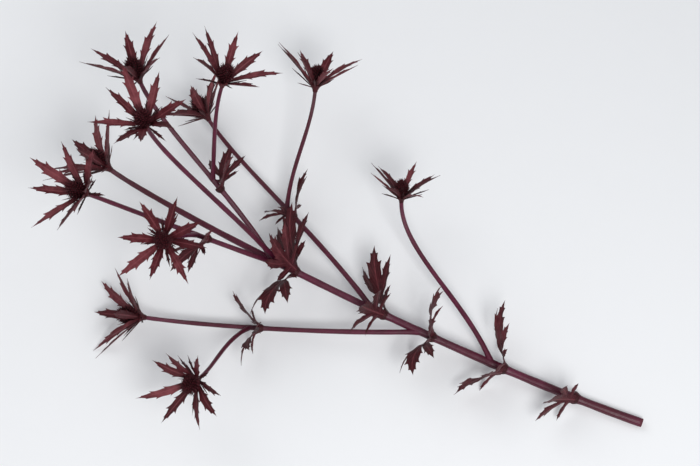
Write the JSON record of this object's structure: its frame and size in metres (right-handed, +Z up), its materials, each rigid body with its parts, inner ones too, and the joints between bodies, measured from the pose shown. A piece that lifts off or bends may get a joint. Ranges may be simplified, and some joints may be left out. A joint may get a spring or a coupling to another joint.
{
  "type": "sea holly stem",
  "caption": "Cut branching sea holly stem dyed deep burgundy, lying down, with spiny toothed bract ruffs, prickly flower cones and clasping leaves.",
  "frame": {"origin": "on the surface the stem lies on, under the centre of its bounding box", "axes": "+X along the main stem from its cut end towards the top bloom, +Z up from the surface, +Y to the stem's left"},
  "size_m": [0.6116, 0.4211, 0.2488],
  "materials": {
    "stalk": "satin",
    "leaf": "matte",
    "bract": "matte",
    "cone": "matte"
  },
  "bodies": {
    "root": {"stem": "stalk", "whorl_foot": "leaf", "whorl_low": "leaf", "whorl_left": "leaf", "whorl_right": "leaf", "whorl_crown": "leaf", "whorl_left_fork": "leaf", "whorl_right_fork": "leaf", "whorl_upper_left_fork": "leaf", "whorl_upper_right_fork": "leaf", "ruff_top": "bract", "cone_top": "cone", "ruff_left": "bract", "cone_left": "cone", "ruff_left_side": "bract", "cone_left_side": "cone", "ruff_right": "bract", "cone_right": "cone", "ruff_right_side": "bract", "cone_right_side": "cone", "ruff_upper_left": "bract", "cone_upper_left": "cone", "ruff_upper_left_side": "bract", "cone_upper_left_side": "cone", "ruff_upper_right": "bract", "cone_upper_right": "cone", "ruff_upper_right_side": "bract", "cone_upper_right_side": "cone", "ruff_crown": "bract", "cone_crown": "cone", "ruff_low_side": "bract", "cone_low_side": "cone"}
  },
  "joints": []
}
